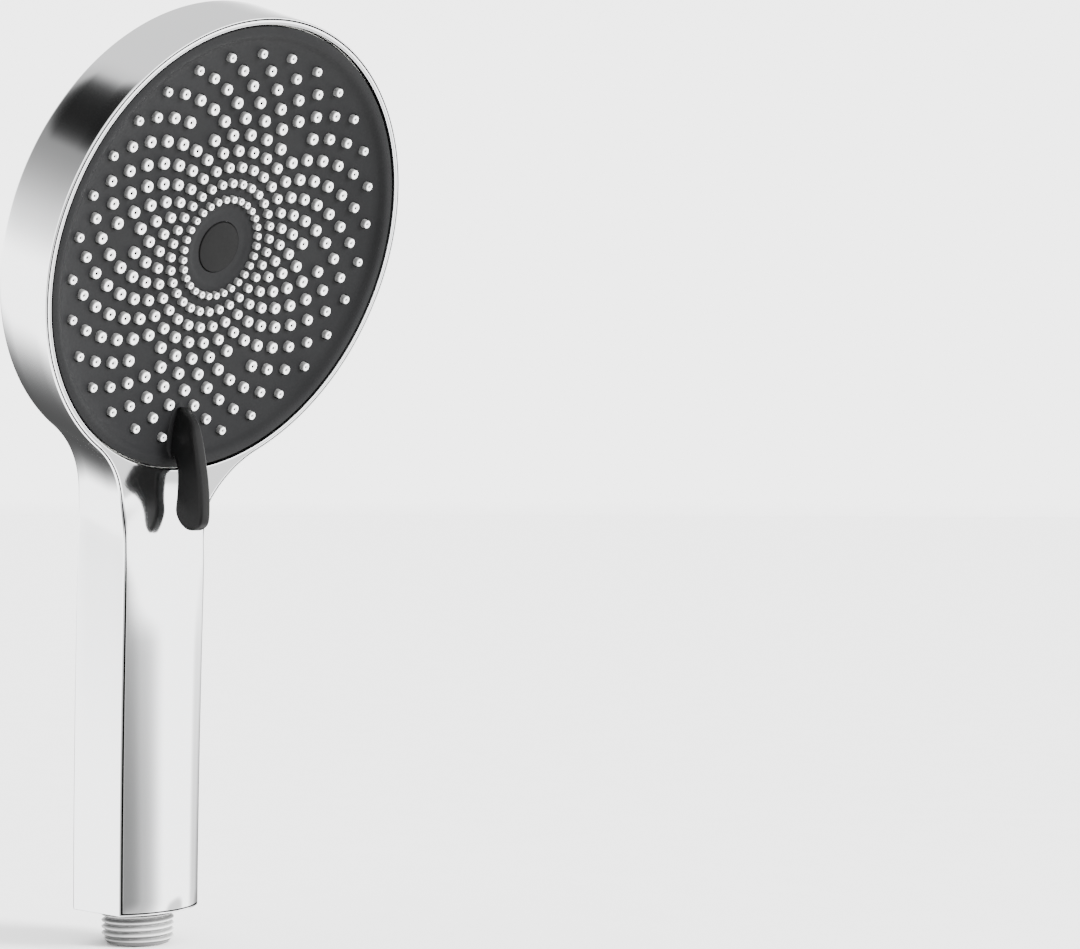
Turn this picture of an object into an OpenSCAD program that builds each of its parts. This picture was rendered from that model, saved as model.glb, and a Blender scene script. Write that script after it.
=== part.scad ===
// Handheld shower head with a three-mode rotary spray face.
// The origin is the centre of the inlet spigot's end face. +Z runs up the handle and -Y is the spray side.
// "Face frame" below means: origin at the middle of the rim's front plane, z out of the spray face, y up it.

/* [Head] */
// Radius of the chrome rim
rim_r = 66.6; // [66.6:0.1:68]
// Depth of the rim from its front plane to its back edge
rim_depth = 20.2; // [20.2:0.1:22]
// Height of the back's shallow cone above the rim's back edge
dome_rise = 6; // [6:0.5:9]
// Angle by which the spray face leans down from the vertical
tilt = 20.6; // [20.6:0.1:20.8]
// Distance from the handle's axis forward to the middle of the rim's front plane
face_reach = 37.7; // [37.6:0.1:37.8]
// Height of the middle of the rim's front plane above the spigot's end
face_height = 195.9; // [195.8:0.1:196]

/* [Handle] */
// Half the handle's width between its side flats, at the neck
grip_half_w = 16.2; // [16:0.1:16.4]
// Half the handle's width at its lower end
foot_half_w = 15.7; // [15.5:0.1:15.9]
// Radius of the rounded front and of the rounded back
grip_arc_r = 26; // [25:0.5:27]
// Distance from the axis to the front, at the lower end
foot_front = 14.2; // [14:0.1:14.4]
// Distance from the axis to the back, at the lower end
foot_back = 15.8; // [15.4:0.1:16]
// Forward lean of the front surface, in degrees
front_lean = 0.9; // [0.8:0.1:1]
// Forward lean of the back surface, in degrees
back_lean = 1.1; // [1:0.1:1.2]
// Radius of the concave fillet between rim and handle
neck_fillet_r = 30; // [28:1:32]
// Wall thickness of the rear shell
wall = 2.2; // [2:0.1:2.2]
// Thickness of the front shell
front_skin = 1.6; // [1.4:0.1:1.7]

/* [Inlet] */
// Crest radius of the G 1/2 spigot thread
thread_r = 10.4775; // [10.4775:0.0001:10.4776]
// Length of the spigot below the handle
spigot_len = 9.7; // [9.6:0.1:9.8]
// Bore radius that holds the filter and the flow restrictor
inlet_bore_r = 7.2; // [7:0.1:7.4]
// Bore radius of the water tube
tube_bore_r = 5; // [4.5:0.1:5.2]

/* [Spray face] */
// Radius of the opening in the chrome ring
opening_r = 64.5; // [64.5:0.05:64.6]
// Running gap between the chrome ring and the spray plate
plate_gap = 0.6; // [0.5:0.05:0.7]
// Depth of the dished middle below the rim's front plane
dish_depth = 5.3; // [5.2:0.1:5.4]
// Rings of nozzles
nozzle_rings = 10; // [6:1:10]
// Nozzles in each full ring
nozzles_per_ring = 30; // [30:1:30]
// Height of a nozzle above the spray plate
nozzle_h = 1.3; // [1:0.1:1.5]
// Turn of the spray face from the middle mode to each outer mode
mode_angle = 30; // [28:1:32]

/* [Lever] */
// Thickness of the mode lever
lever_w = 4; // [3.5:0.1:4.2]

/* [Hidden] */
$fn = 96;
eps = 0.01;
thread_pitch = 1.814;
thread_root_r = 9.3;
crest_w = 0.5;
flank_h = 0.6;

// Depths in the face frame, as distances below the rim's front plane
plate_lip = 0.4;
plate_lip_back = 2.4;
plate_r = opening_r - plate_gap;
plate_t = 1.6;
mat_t = 1.6;
mat_edge_drop = 0.3;
face_gap = 0.05;
skirt_r = 60.6;
skirt_inner_r = 58.8;
skirt_depth = 9;
pack_r = 58.5;
chamber_floor = 9.9;
channel_back = 11.1;
cover_back = 12.7;
selector_back = 14.1;
manifold_front = 14.3;
manifold_back = 20.6;
bearing_front = 2.8;
bearing_back = 5.2;

// Pivot of the spray face
pivot_r = 5;
pivot_run = 0.05;
pivot_clear_r = pivot_r + 0.3;
boss_top = 9.75;
washer_r = 6.6;
washer_t = 0.6;
screw_head_r = 3.2;
screw_head_h = 1.8;
screw_r = 1.6;
cap_r = 7.25;
cap_t = 1.15;

// Selector, seal and detent
port_circle_r = 15;
port_r = 2.5;
selector_r = 26.5;
manifold_r = 27;
seal_r = 4.5;
seal_bore_r = 2.6;
seal_h = 1.45;
seal_pocket_r = 4.6;
seal_floor = 18;
detent_circle_r = 20;
ball_r = 2;
ball_travel = 0.6;
stop_circle_r = 22;
stop_r = 1.5;
lug_circle_r = 22;
lug_angles = [45, 90, 135];
lug_r = 3;
lug_h = 3.6;
screw_shank_r = 1.3;
screw_bite = 2.5;
screw_seat = 2.2;
handle_dir = 270;

// Nozzle layout: the first ring's radius and the step from ring to ring
ring0_r = 14.07;
ring_step = 4.638;
jet_r = 0.35;
land_half_w = 1.9;
gap_ring = 5;
gap_every = 60;
gap_start = 30;
lever_ring = 8;

// Handle and socket heights
foot_z = spigot_len;
neck_z = 125;
head_slab_r = 82;
socket_z0 = 96;
socket_z1 = 113;
socket_r = 8.4;
tube_r = 6.6;
collar_r = 9.3;
collar_z = 26;
flange_r = 12.3;
flange_t = 2;
restrictor_z = 9;
restrictor_h = 6;
filter_z = 5.5;
filter_t = 1.8;
o_ring_r = 0.9;
tube_o_ring_z = 104;
arm_w = 16;
arm_void_w = 12;
arm_lid_t = 1.4;

// Depth of the dish at radius r: flat in the middle and rising ever faster towards the lip
function dish(r) = -dish_depth + 2.35 * pow(r / 55.8, 5);

// The dish's outline at depth d below it, with a flat land under each ring of nozzles
function lands(d) = [
    for (k = [0:nozzle_rings - 1], side = [-1, 1]) [ring_r(k) + side * land_half_w, dish(ring_r(k)) - d]
];
function reversed(points) = [for (i = [len(points) - 1:-1:0]) points[i]];
function ring_r(k) = ring0_r + ring_step * k;
function nozzle_r(k) = 1.7 - 0.026 * pow(k - 5, 2);

// Angle of nozzle j in ring k, counted from the handle: every other ring is turned by half a step
function nozzle_turn(k, j) = (j + (k % 2) / 2) * 360 / nozzles_per_ring;
function has_nozzle(k, a) =
    !(k == gap_ring && (a - gap_start) % gap_every == 0) && !(k == lever_ring && a == 0);

// A coil of round wire round the z axis, from z0 up to z1
function coil_point(i, n, turns, z0, z1, coil_r) =
    [coil_r * cos(360 * turns * i / n), coil_r * sin(360 * turns * i / n), z0 + (z1 - z0) * i / n];

module coil(turns, z0, z1, coil_r, wire_r) {
    n = turns * 20;
    sides = 8;
    points = [
        for (i = [0:n], s = [0:sides - 1])
            let (
                p = coil_point(i, n, turns, z0 + wire_r, z1 - wire_r, coil_r),
                a = 360 * turns * i / n,
                b = 360 * s / sides
            )
            p + wire_r * [cos(b) * cos(a), cos(b) * sin(a), sin(b)]
    ];
    faces = concat(
        [[for (s = [0:sides - 1]) s]],
        [
            for (i = [0:n - 1], s = [0:sides - 1])
                let (q = (s + 1) % sides)
                [i * sides + s, (i + 1) * sides + s, (i + 1) * sides + q, i * sides + q]
        ],
        [[for (s = [sides - 1:-1:0]) n * sides + s]]
    );
    polyhedron(points, faces);
}

// Places its children in the face frame
module on_face() {
    translate([0, -face_reach, face_height]) rotate([90 + tilt, 0, 0]) children();
}

// Extrudes a (y, z) outline to width w across x
module across(w) {
    rotate([90, 0, 90]) linear_extrude(height = w, center = true) children();
}

// A ring round the z axis between two radii and two depths
module ring(r_out, r_in, top, bottom) {
    difference() {
        translate([0, 0, -bottom]) cylinder(r = r_out, h = bottom - top);
        translate([0, 0, -bottom - 1]) cylinder(r = r_in, h = bottom - top + 2);
    }
}

// A pin or a hole between two depths, at radius r0 and angle a
module pin(r, r0, a, top, bottom, $fn = 32) {
    rotate([0, 0, a]) translate([r0, 0, -bottom]) cylinder(r = r, h = bottom - top);
}

module torus(r, tube) {
    rotate_extrude() translate([r, 0]) circle(r = tube, $fn = 24);
}

// Points along an arc from angle a0 to a1
function arc(centre, r, a0, a1, n) = [
    for (i = [0:n])
        let (a = a0 + (a1 - a0) * i / n)
        centre + r * [cos(a), sin(a)]
];
function mirrored(points) = [for (i = [len(points) - 1:-1:0]) [-points[i].x, points[i].y]];

// Right half of the rim, the neck fillet and the handle strip, seen along the face's normal, inset by d
function half_outline(d) =
    let (
        cx = grip_half_w + neck_fillet_r,
        cy = -sqrt(pow(rim_r + neck_fillet_r, 2) - cx * cx),
        meet = atan2(cy, cx)
    )
    concat(
        [[grip_half_w - d, -220]],
        arc([cx, cy], neck_fillet_r + d, 180, 180 + meet, 10),
        arc([0, 0], rim_r - d, meet + 4, 86, 33)
    );

module outline(d) {
    right = half_outline(d);
    polygon(concat(right, mirrored(right)));
}

// The side walls of head and handle, with the handle's slight taper
module side_walls(d) {
    intersection() {
        on_face() translate([0, 0, -40]) linear_extrude(height = 110) outline(d);
        union() {
            translate([-100, -100, neck_z - 15]) cube([200, 200, 200]);
            rotate([90, 0, 0]) translate([0, 0, -60]) linear_extrude(height = 120)
                polygon([
                    [-foot_half_w + d, 0], [foot_half_w - d, 0],
                    [grip_half_w - d, neck_z - 15 + eps], [-grip_half_w + d, neck_z - 15 + eps]
                ]);
        }
    }
}

// The shallow cone that closes the head's back
module back_cone(d) {
    slope = dome_rise / rim_r;
    depth = rim_depth - d;
    reach = 230;
    on_face() rotate_extrude($fn = 180)
        polygon([
            [0, 70], [reach, 70], [reach, -depth + slope * (reach - rim_r)],
            [20, -depth - slope * (rim_r - 20)], [0, -depth - dome_rise + 0.9]
        ]);
}

// The rounded front of the handle and the rounded back, each a leaning barrel
module front_barrel(d) {
    translate([0, grip_arc_r - foot_front, foot_z]) rotate([front_lean, 0, 0])
        translate([0, 0, -20]) cylinder(r = grip_arc_r - d, h = 170, $fn = 180);
}

module back_barrel(d) {
    translate([0, foot_back - grip_arc_r, foot_z]) rotate([back_lean, 0, 0])
        translate([0, 0, -20]) cylinder(r = grip_arc_r - d, h = 170, $fn = 180);
}

// Clears the handle's bulge away from the turning spray face, with a cone over the neck
module face_clearance(d) {
    foot_r = opening_r + 0.8;
    on_face() {
        translate([0, 0, -d]) cylinder(r1 = foot_r, r2 = foot_r + 12, h = 7, $fn = 180);
        translate([0, 0, -d - 5]) cylinder(r = foot_r, h = 5 + eps, $fn = 180);
    }
}

// Head and handle as one solid, inset by ds at the sides, df at the front, db at the back and dz at the foot
module body_solid(ds, df, db, dz) {
    intersection() {
        side_walls(ds);
        back_cone(db);
        union() {
            on_face() translate([0, 0, -df - 40]) cylinder(r = head_slab_r, h = 40, $fn = 180);
            difference() {
                intersection() {
                    front_barrel(df);
                    back_barrel(db);
                    translate([-40, -60, foot_z + dz]) cube([80, 100, neck_z + 16]);
                }
                face_clearance(df);
            }
        }
    }
}

// Everything behind the front shell
module behind_front() {
    on_face() translate([0, 0, -front_skin - 60]) cylinder(r = head_slab_r + 3, h = 60, $fn = 180);
    difference() {
        front_barrel(front_skin);
        face_clearance(front_skin);
    }
}

module rear_shell() {
    color([0.86, 0.87, 0.89]) difference() {
        union() {
            difference() {
                intersection() {
                    body_solid(0, 0, 0, 0);
                    behind_front();
                }
                body_solid(wall, front_skin / 2, wall, wall);
                cylinder(r = thread_r + 0.1, h = foot_z + 2 * wall);
            }
            on_face()
                for (a = lug_angles) pin(lug_r, lug_circle_r, a, manifold_back, manifold_back + lug_h);
        }
        on_face()
            for (a = lug_angles)
                pin(screw_shank_r, lug_circle_r, a, manifold_back - 1, manifold_back + screw_bite);
    }
}

module front_shell() {
    tab_heights = [40, 88];
    tab = [2.4, 4.8, 8];
    tab_x = 11.6;
    tab_front = -10.4;
    color([0.88, 0.89, 0.91]) {
        difference() {
            body_solid(0, 0, 0, 0);
            behind_front();
            on_face() translate([0, 0, -30]) cylinder(r = opening_r, h = 40, $fn = 180);
        }
        for (z = tab_heights, side = [-1, 1])
            translate([side * tab_x - tab.x / 2, tab_front - tan(front_lean) * (z - tab_heights[0]), z])
                cube(tab);
    }
}

module bearing_ring() {
    color([0.92, 0.92, 0.9]) on_face() ring(opening_r - 0.2, skirt_r + 0.6, bearing_front, bearing_back);
}

module thread_crests() {
    crests = floor((spigot_len - 1) / thread_pitch);
    for (i = [0:crests]) {
        z = i * thread_pitch;
        translate([0, 0, z]) cylinder(r = thread_r, h = crest_w);
        translate([0, 0, z + crest_w]) cylinder(r1 = thread_r, r2 = thread_root_r, h = flank_h);
        if (i > 0)
            translate([0, 0, z - flank_h]) cylinder(r1 = thread_root_r, r2 = thread_r, h = flank_h);
    }
}

module waterway_tube() {
    bore_step = restrictor_z + restrictor_h;
    color([0.9, 0.9, 0.9]) difference() {
        union() {
            cylinder(r = thread_root_r, h = foot_z + wall);
            thread_crests();
            translate([0, 0, foot_z + wall]) cylinder(r = flange_r, h = flange_t);
            cylinder(r = collar_r, h = collar_z);
            cylinder(r = tube_r, h = socket_z1 - 3);
        }
        translate([0, 0, -1]) cylinder(r = inlet_bore_r, h = bore_step + 1);
        cylinder(r = tube_bore_r, h = socket_z1);
        translate([0, 0, tube_o_ring_z]) torus(tube_r, o_ring_r);
    }
}

module filter_washer() {
    color([0.13, 0.13, 0.13]) translate([0, 0, filter_z])
        difference() {
            cylinder(r = inlet_bore_r, h = filter_t);
            translate([0, 0, -1]) cylinder(r = inlet_bore_r - 2, h = filter_t + 2);
        }
}

module filter_screen() {
    pitch = 1.6;
    color([0.7, 0.71, 0.72]) translate([0, 0, filter_z + 0.7])
        difference() {
            cylinder(r = inlet_bore_r - 2, h = 0.4);
            for (i = [-2:2], j = [-2:2])
                if (norm([i, j]) < 2.6)
                    translate([i * pitch, j * pitch, -1]) cylinder(r = 0.55, h = 2, $fn = 16);
        }
}

module flow_restrictor() {
    holes = 6;
    color([0.25, 0.45, 0.75]) translate([0, 0, restrictor_z])
        difference() {
            cylinder(r = inlet_bore_r - 0.1, h = restrictor_h - 0.1);
            translate([0, 0, 1.5]) cylinder(r = 4, h = restrictor_h);
            for (i = [0:holes - 1])
                rotate([0, 0, i * 360 / holes]) translate([2.4, 0, -1]) cylinder(r = 0.8, h = 4, $fn = 24);
            translate([0, 0, restrictor_h / 2]) torus(inlet_bore_r - 0.1, o_ring_r);
        }
}

module restrictor_o_ring() {
    color([0.08, 0.08, 0.08]) translate([0, 0, restrictor_z + restrictor_h / 2])
        torus(inlet_bore_r - 0.1 - o_ring_r / 2, o_ring_r / 2);
}

module tube_o_ring() {
    color([0.08, 0.08, 0.08]) translate([0, 0, tube_o_ring_z]) torus(tube_r - o_ring_r / 2, o_ring_r / 2);
}

// The duct arm's outline in the face frame: y is up the face, z is out of it
arm_front = [[-91, 1.3], [-84, -3.4], [-70, -7.5], [-63, -10.8], [-60, -14.4], [-12, -14.4]];
arm_back = [[-12, -20.4], [-44, -19.8], [-64, -17.6], [-84, -14.6], [-96, -11.4]];

module arm_outline() {
    polygon(concat(arm_front, arm_back));
}

// The waterway inside the arm, which its lid closes at the back
module arm_void() {
    polygon([
        [-94, -0.5], [-84, -4.9], [-70, -9], [-62, -13], [-60, -15.8], [-port_circle_r, -15.8],
        [-port_circle_r, -19], [-44, -18.4], [-64, -16.2], [-84, -13.2], [-97, -9.9]
    ]);
}

// A strip along the arm's back, from y = -20 to y = -84
module lid_outline() {
    polygon([
        [-20, -20.25], [-44, -19.8], [-64, -17.6], [-84, -14.6],
        [-84, -14.6 + arm_lid_t], [-64, -17.6 + arm_lid_t],
        [-44, -19.8 + arm_lid_t], [-20, -20.25 + arm_lid_t]
    ]);
}

module head_manifold() {
    color([0.82, 0.83, 0.84]) difference() {
        union() {
            translate([0, 0, socket_z0]) cylinder(r = socket_r, h = socket_z1 - socket_z0);
            on_face() {
                pin(manifold_r, 0, 0, manifold_front, manifold_back, $fn = 96);
                across(arm_w) arm_outline();
                pin(pivot_r, 0, 0, boss_top, manifold_back, $fn = 96);
                pin(stop_r, stop_circle_r, 180, cover_back + 0.3, manifold_front + 1);
            }
        }
        translate([0, 0, socket_z0 - 1]) cylinder(r = tube_r + 0.1, h = socket_z1 - socket_z0 - 1.5);
        translate([0, 0, socket_z0]) cylinder(r = tube_bore_r, h = socket_z1 - socket_z0 - 0.5);
        on_face() {
            across(arm_void_w) arm_void();
            across(arm_void_w) lid_outline();
            pin(seal_pocket_r, port_circle_r, handle_dir, manifold_front - 1, seal_floor);
            pin(ball_r + pivot_run, detent_circle_r, 0, manifold_front - 1, manifold_back - 0.8);
            pin(screw_r + eps, 0, 0, boss_top - 1, manifold_back - 1);
            for (a = lug_angles) {
                pin(screw_r, lug_circle_r, a, manifold_front - 1, manifold_back + 1);
                pin(screw_head_r, lug_circle_r, a, manifold_front - 1, manifold_front + screw_seat);
            }
        }
    }
}

module manifold_lid() {
    color([0.78, 0.79, 0.8]) on_face() across(arm_void_w - 2 * eps) lid_outline();
}

module manifold_screws() {
    seat = manifold_front + screw_seat;
    color([0.6, 0.61, 0.63]) on_face()
        for (a = lug_angles)
            difference() {
                union() {
                    pin(screw_head_r - 0.2, lug_circle_r, a, manifold_front + 0.5, seat);
                    pin(screw_shank_r, lug_circle_r, a, seat - 0.2, manifold_back + screw_bite);
                }
                rotate([0, 0, a]) translate([lug_circle_r, 0, -manifold_front - 1.5])
                    cylinder(r = 1.1, h = 2, $fn = 6);
            }
}

module valve_seal() {
    top = selector_back + face_gap;
    color([0.07, 0.07, 0.07]) on_face() difference() {
        pin(seal_r, port_circle_r, handle_dir, top, top + seal_h);
        pin(seal_bore_r, port_circle_r, handle_dir, top - 1, top + seal_h + 1);
    }
}

module valve_spring() {
    color([0.7, 0.71, 0.73]) on_face() translate([0, -port_circle_r, 0])
        coil(2, -seal_floor, -selector_back - face_gap - seal_h, 3.7, 0.25);
}

module detent_spring() {
    color([0.7, 0.71, 0.73]) on_face() translate([detent_circle_r, 0, 0])
        coil(3, -manifold_back + 0.8, -selector_back - face_gap - 2 * ball_r + 0.35, 1.2, 0.22);
}

module pivot_screw() {
    color([0.62, 0.63, 0.65]) on_face() difference() {
        union() {
            pin(screw_head_r, 0, 0, boss_top - face_gap - washer_t - screw_head_h, boss_top - face_gap - washer_t);
            pin(screw_r, 0, 0, boss_top - 1, manifold_back - 2);
        }
        translate([0, 0, -boss_top + washer_t + 0.8]) cylinder(r = 1.4, h = 3, $fn = 6);
    }
}

module pivot_washer() {
    color([0.7, 0.7, 0.72]) on_face()
        ring(washer_r, screw_r + eps, boss_top - face_gap - washer_t, boss_top - face_gap);
}

module detent_ball() {
    color([0.75, 0.76, 0.78]) on_face()
        translate([detent_circle_r, 0, -selector_back - face_gap - ball_r]) sphere(r = ball_r, $fn = 48);
}

module selector_disc() {
    half_w = stop_r + 0.15;
    color([0.93, 0.93, 0.91]) on_face() difference() {
        ring(selector_r, pivot_r + pivot_run, cover_back, selector_back);
        for (turn = [-1:1]) {
            pin(port_r, port_circle_r, handle_dir + turn * mode_angle, cover_back - 1, selector_back + 1);
            rotate([0, 0, turn * mode_angle])
                translate([detent_circle_r, 0, -selector_back - ball_r + ball_travel + 0.15])
                sphere(r = ball_r + 0.1, $fn = 48);
        }
        translate([0, 0, -selector_back - 1]) rotate([0, 0, 180 - mode_angle])
            rotate_extrude(angle = 2 * mode_angle)
            translate([stop_circle_r - half_w, 0]) square([2 * half_w, 3]);
        for (turn = [-1, 1])
            pin(half_w, stop_circle_r, 180 + turn * mode_angle, cover_back - 1, selector_back + 1);
    }
}

// Radius at which each mode's water enters its own nozzle chamber
mode_inlet_r = [33, port_circle_r, 50];

module chamber_cover() {
    groove_w = 4;
    groove_depth = 0.8;
    color([0.8, 0.81, 0.83]) on_face() difference() {
        ring(56, pivot_clear_r, channel_back, cover_back);
        for (turn = [-1:1])
            rotate([0, 0, handle_dir + turn * mode_angle]) {
                pin(port_r, port_circle_r, 0, channel_back - 1, cover_back + 1);
                translate([port_circle_r, -groove_w / 2, -channel_back - groove_depth])
                    cube([mode_inlet_r[turn + 1] - port_circle_r + 2, groove_w, 2]);
            }
    }
}

// A plate whose front follows the dish at depth d below it, out to radius r1, with a flat back
module dished_plate(d, r0, r1, back) {
    rotate_extrude($fn = 180)
        polygon(concat(
            [[r0, dish(ring0_r) - d]], lands(d), [[r1, dish(r1) - d], [r1, -back], [r0, -back]]
        ));
}

module channel_plate() {
    chambers = [[11.5, 25.5], [27, 44.3], [45.8, 57.2]];
    color([0.84, 0.85, 0.86]) on_face() difference() {
        dished_plate(plate_t + mat_t, pivot_clear_r, pack_r, channel_back);
        ring(washer_r + 0.4, pivot_clear_r - 1, 8, boss_top);
        for (c = chambers) ring(c[1], c[0], 5, chamber_floor);
        for (turn = [-1:1])
            pin(1.8, mode_inlet_r[turn + 1], handle_dir + turn * mode_angle, 5, channel_back + 1);
    }
}

// Places one child per nozzle of ring k
module at_nozzles(k) {
    for (j = [0:nozzles_per_ring - 1])
        let (a = nozzle_turn(k, j))
        if (has_nozzle(k, a))
            rotate([0, 0, handle_dir + a]) translate([ring_r(k), 0, 0]) children();
}

module nozzle_mat() {
    color([0.93, 0.93, 0.93]) on_face() difference() {
        union() {
            rotate_extrude($fn = 180)
                polygon(concat(
                    [[cap_r, dish(ring0_r) - plate_t]], lands(plate_t),
                    [[pack_r, dish(pack_r) - plate_t - mat_edge_drop], [pack_r, dish(pack_r) - plate_t - mat_t]],
                    reversed(lands(plate_t + mat_t)),
                    [[cap_r, dish(ring0_r) - plate_t - mat_t]]
                ));
            for (k = [0:nozzle_rings - 1])
                at_nozzles(k)
                    translate([0, 0, dish(ring_r(k)) - plate_t - 0.3])
                    cylinder(r = nozzle_r(k), h = nozzle_h + plate_t + 0.3, $fn = 24);
        }
        for (k = [0:nozzle_rings - 1])
            at_nozzles(k)
                translate([0, 0, dish(ring_r(k)) - plate_t - mat_t - 1])
                cylinder(r = jet_r, h = 8, $fn = 16);
    }
}

module face_plate() {
    color([0.29, 0.3, 0.31]) on_face() difference() {
        rotate_extrude($fn = 180)
            polygon(concat(
                [[cap_r - 1, dish(ring0_r)]], lands(0),
                [
                    [60.2, dish(60.2)], [61.4, -plate_lip], [plate_r, -plate_lip], [plate_r, -plate_lip_back],
                    [skirt_r, -plate_lip_back], [skirt_r, -skirt_depth], [skirt_inner_r, -skirt_depth],
                    [skirt_inner_r, dish(skirt_inner_r) - plate_t]
                ],
                reversed(lands(plate_t)), [[cap_r - 1, dish(ring0_r) - plate_t]]
            ));
        translate([0, 0, dish(0) - cap_t - face_gap]) cylinder(r = cap_r + 0.1, h = 3);
        for (k = [0:nozzle_rings - 1])
            at_nozzles(k)
                translate([0, 0, dish(ring_r(k)) - plate_t - 1])
                cylinder(r = nozzle_r(k) + 0.1, h = 4, $fn = 24);
        translate([-lever_w / 2 - face_gap, -58, -10]) cube([lever_w + 2 * face_gap, 9.5, 12]);
    }
}

// The lever's side view: a fin that stands on the plate and reaches down over the neck
lever_ridge = [
    [-48.6, -4.4], [-48.8, 1.6], [-50.2, 3.9], [-55.6, 7.8], [-61.3, 11.1], [-67, 14.2], [-71.5, 15.9]
];
lever_end = [[-74.3, 16.2], [-76.6, 15], [-77.9, 12.9], [-78, 10.6], [-77, 8.4], [-75, 6.6]];
lever_foot = [[-70.6, 4.9], [-64, 2.8], [-60.5, 0.6], [-57.9, -1.6], [-57.9, -3.6]];

module mode_lever() {
    color([0.17, 0.17, 0.18]) on_face()
        across(lever_w) polygon(concat(lever_ridge, lever_end, lever_foot));
}

module centre_cap() {
    color([0.24, 0.24, 0.25]) on_face() {
        translate([0, 0, dish(0) - cap_t]) cylinder(r = cap_r, h = cap_t);
        ring(6.2, 5.4, dish_depth + cap_t - 0.5, dish_depth + cap_t + 0.6);
    }
}

rear_shell();
front_shell();
bearing_ring();
waterway_tube();
filter_washer();
filter_screen();
flow_restrictor();
restrictor_o_ring();
tube_o_ring();
head_manifold();
manifold_lid();
manifold_screws();
valve_seal();
valve_spring();
detent_spring();
pivot_screw();
pivot_washer();
detent_ball();
selector_disc();
chamber_cover();
channel_plate();
nozzle_mat();
face_plate();
mode_lever();
centre_cap();
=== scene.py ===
import math

import bmesh
import bpy
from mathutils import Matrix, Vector


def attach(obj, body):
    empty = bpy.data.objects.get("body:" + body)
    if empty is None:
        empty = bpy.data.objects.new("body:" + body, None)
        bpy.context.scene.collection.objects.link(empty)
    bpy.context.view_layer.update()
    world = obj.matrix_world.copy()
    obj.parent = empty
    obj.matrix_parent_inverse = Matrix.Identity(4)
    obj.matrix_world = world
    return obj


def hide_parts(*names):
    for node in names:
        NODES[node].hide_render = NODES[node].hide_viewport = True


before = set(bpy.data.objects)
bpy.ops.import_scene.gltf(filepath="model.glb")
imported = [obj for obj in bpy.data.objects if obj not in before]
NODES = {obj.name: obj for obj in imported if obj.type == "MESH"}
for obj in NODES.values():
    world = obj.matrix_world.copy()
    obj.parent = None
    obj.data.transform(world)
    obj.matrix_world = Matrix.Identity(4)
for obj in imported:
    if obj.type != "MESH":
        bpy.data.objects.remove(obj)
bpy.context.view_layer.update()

MM = 0.001

# ---------------------------------------------------------------- camera
CAMERA_AT = (-0.5283, -0.5448, 0.1343)
CAMERA_AHEAD = (0.7195, 0.6944, 0.0)
LENS_MM = 87.74
SENSOR_MM = 36.0
SHIFT_X = 0.2917


def add_camera():
    data = bpy.data.cameras.new("camera")
    data.lens = LENS_MM
    data.sensor_width = SENSOR_MM
    data.shift_x = SHIFT_X
    data.clip_start = 0.01
    data.clip_end = 50.0
    camera = bpy.data.objects.new("camera", data)
    camera.location = CAMERA_AT
    camera.rotation_euler = Vector(CAMERA_AHEAD).to_track_quat("-Z", "Y").to_euler()
    bpy.context.scene.collection.objects.link(camera)
    bpy.context.scene.camera = camera


# ---------------------------------------------------------------- frames and sizes, in millimetres
TILT = math.radians(20.6)
SIN_T = math.sin(TILT)
COS_T = math.cos(TILT)
FACE_Y = -37.7
FACE_Z = 195.9
RIM_R = 66.55
OPENING_R = 64.5
NECK_R = 30.0
NECK_X = 46.2
NECK_V = 84.8
FOOT_Z = 9.7
RIM_DEPTH = 19.9
DOME_RISE = 5.9
NOZZLE_RINGS = 10
NOZZLES_PER_RING = 30

# The handle's half width at the foot, how it widens upwards, and its widest
HANDLE_HALF_W = 15.72
HANDLE_FLARE = 0.0042
HANDLE_MAX_HALF_W = 16.2

# The front: where its side edges lie, and how far its middle stands out of them
FRONT_EDGE_Y = -8.6
FRONT_EDGE_LEAN = 0.008
FRONT_EDGE_CURVE = 0.00014
FRONT_EDGE_TOP_Z = 108.0
FRONT_BULGE = 5.55
FRONT_BULGE_TAPER = 0.0065
FRONT_ROUNDNESS = 2.2
NECK_FLATTENING = 2.7
NECK_FLAT_FROM_Z = 88.0
NECK_FLAT_OVER = 34.0
NECK_RISE_GAP = 0.4
NECK_RISE_OVER = 5.0

# The back: the same for the handle, and where the head's dome takes over from it
BACK_EDGE_Y = 10.65
BACK_EDGE_LEAN = 0.004
BACK_EDGE_CURVE = 0.00016
BACK_BULGE = 5.0
BACK_SPREAD_MAX = 4.0
DOME_CLEARANCE = 14.0
DOME_CLEAR_R = 86.0
DOME_CLEAR_OVER = 22.0
DOME_SOFTNESS = 0.02
# About the square root of DOME_SOFTNESS
DOME_START = 0.1414
DOME_SPAN = 0.8686
BLEND = 2.0
DOME_ROUNDS = 8
HEIGHT_ROUNDS = 14
SLOPE_STEP = 0.01


def on_face(x, v, out):
    """A point from the face frame: x across, v down the face towards the handle, out of the face."""
    return Vector((x, FACE_Y + SIN_T * v - COS_T * out, FACE_Z - COS_T * v - SIN_T * out))


def smooth(t):
    t = min(max(t, 0.0), 1.0)
    return t * t * (3.0 - 2.0 * t)


def soft_positive(p, k):
    """max(0, p) with its corner rounded over a width k either side."""
    if abs(p) < k:
        return (p + k) ** 2 / (4.0 * k)
    return max(p, 0.0)


def half_width(z):
    return min(HANDLE_HALF_W + HANDLE_FLARE * z, HANDLE_MAX_HALF_W)


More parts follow.
